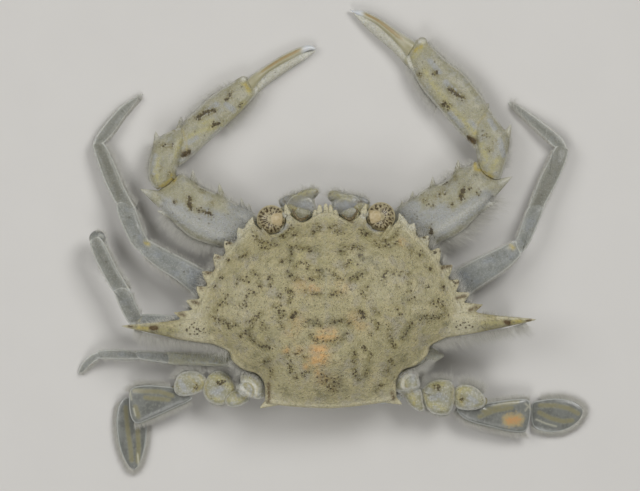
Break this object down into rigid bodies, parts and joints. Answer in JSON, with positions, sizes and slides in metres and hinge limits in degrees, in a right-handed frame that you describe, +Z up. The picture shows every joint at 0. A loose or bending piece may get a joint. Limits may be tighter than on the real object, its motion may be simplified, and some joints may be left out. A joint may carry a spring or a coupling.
{
  "type": "swimming crab model",
  "caption": "Life-size still model of the swimming crab Eodemus hastatoides lying on its belly, claws stretched forward, side spines long, rear legs as paddles.",
  "frame": {"origin": "middle of the model's footprint, on the floor that it lies on", "axes": "+Z up, -Y towards the crab's front, where the claws reach, +X towards the crab's own left"},
  "size_m": [0.0496, 0.0448, 0.0094],
  "materials": {
    "shell": "finely grained khaki-cream shell with small dark olive dots",
    "shell_light": "cream shell with a few dark spots",
    "sternum": "smooth pale cream shell",
    "claw": "grained cream shell with dark spots, smooth blue-grey at the base",
    "finger": "smooth pale shell with a brown-orange stripe",
    "leg": "thin smooth blue-grey shell with pale edges",
    "paddle": "thin clear grey shell with khaki strips inside and a fringe of fine hairs",
    "mouthpart": "smooth blue-grey shell",
    "eye": "glossy cream cornea with brown mottles on a pale stalk"
  },
  "bodies": {
    "root": {"carapace": "shell", "thorax": "sternum", "abdomen": "sternum", "eye_left": "eye", "maxilliped_left": "mouthpart", "antenna_left": "mouthpart", "cheliped_base_left": "claw", "cheliped_merus_left": "claw", "cheliped_carpus_left": "claw", "cheliped_propodus_left": "claw", "cheliped_dactylus_left": "finger", "leg_2_base_left": "leg", "leg_2_merus_left": "leg", "leg_2_carpus_left": "leg", "leg_2_propodus_left": "leg", "leg_2_dactylus_left": "leg", "leg_3_base_left": "leg", "leg_3_merus_left": "leg", "leg_3_carpus_left": "leg", "leg_3_propodus_left": "leg", "leg_3_dactylus_left": "leg", "leg_4_base_left": "leg", "leg_4_merus_left": "leg", "leg_4_carpus_left": "leg", "leg_4_propodus_left": "leg", "leg_4_dactylus_left": "leg", "leg_5_base_left": "shell_light", "leg_5_merus_left": "shell_light", "leg_5_carpus_left": "shell_light", "leg_5_propodus_left": "paddle", "leg_5_dactylus_left": "paddle", "eye_right": "eye", "maxilliped_right": "mouthpart", "antenna_right": "mouthpart", "cheliped_base_right": "claw", "cheliped_merus_right": "claw", "cheliped_carpus_right": "claw", "cheliped_propodus_right": "claw", "cheliped_dactylus_right": "finger", "leg_2_base_right": "leg", "leg_2_merus_right": "leg", "leg_2_carpus_right": "leg", "leg_2_propodus_right": "leg", "leg_2_dactylus_right": "leg", "leg_3_base_right": "leg", "leg_3_merus_right": "leg", "leg_3_carpus_right": "leg", "leg_3_propodus_right": "leg", "leg_3_dactylus_right": "leg", "leg_4_base_right": "leg", "leg_4_merus_right": "leg", "leg_4_carpus_right": "leg", "leg_4_propodus_right": "leg", "leg_4_dactylus_right": "leg", "leg_5_base_right": "shell_light", "leg_5_merus_right": "shell_light", "leg_5_carpus_right": "shell_light", "leg_5_propodus_right": "paddle", "leg_5_dactylus_right": "paddle"}
  },
  "joints": []
}
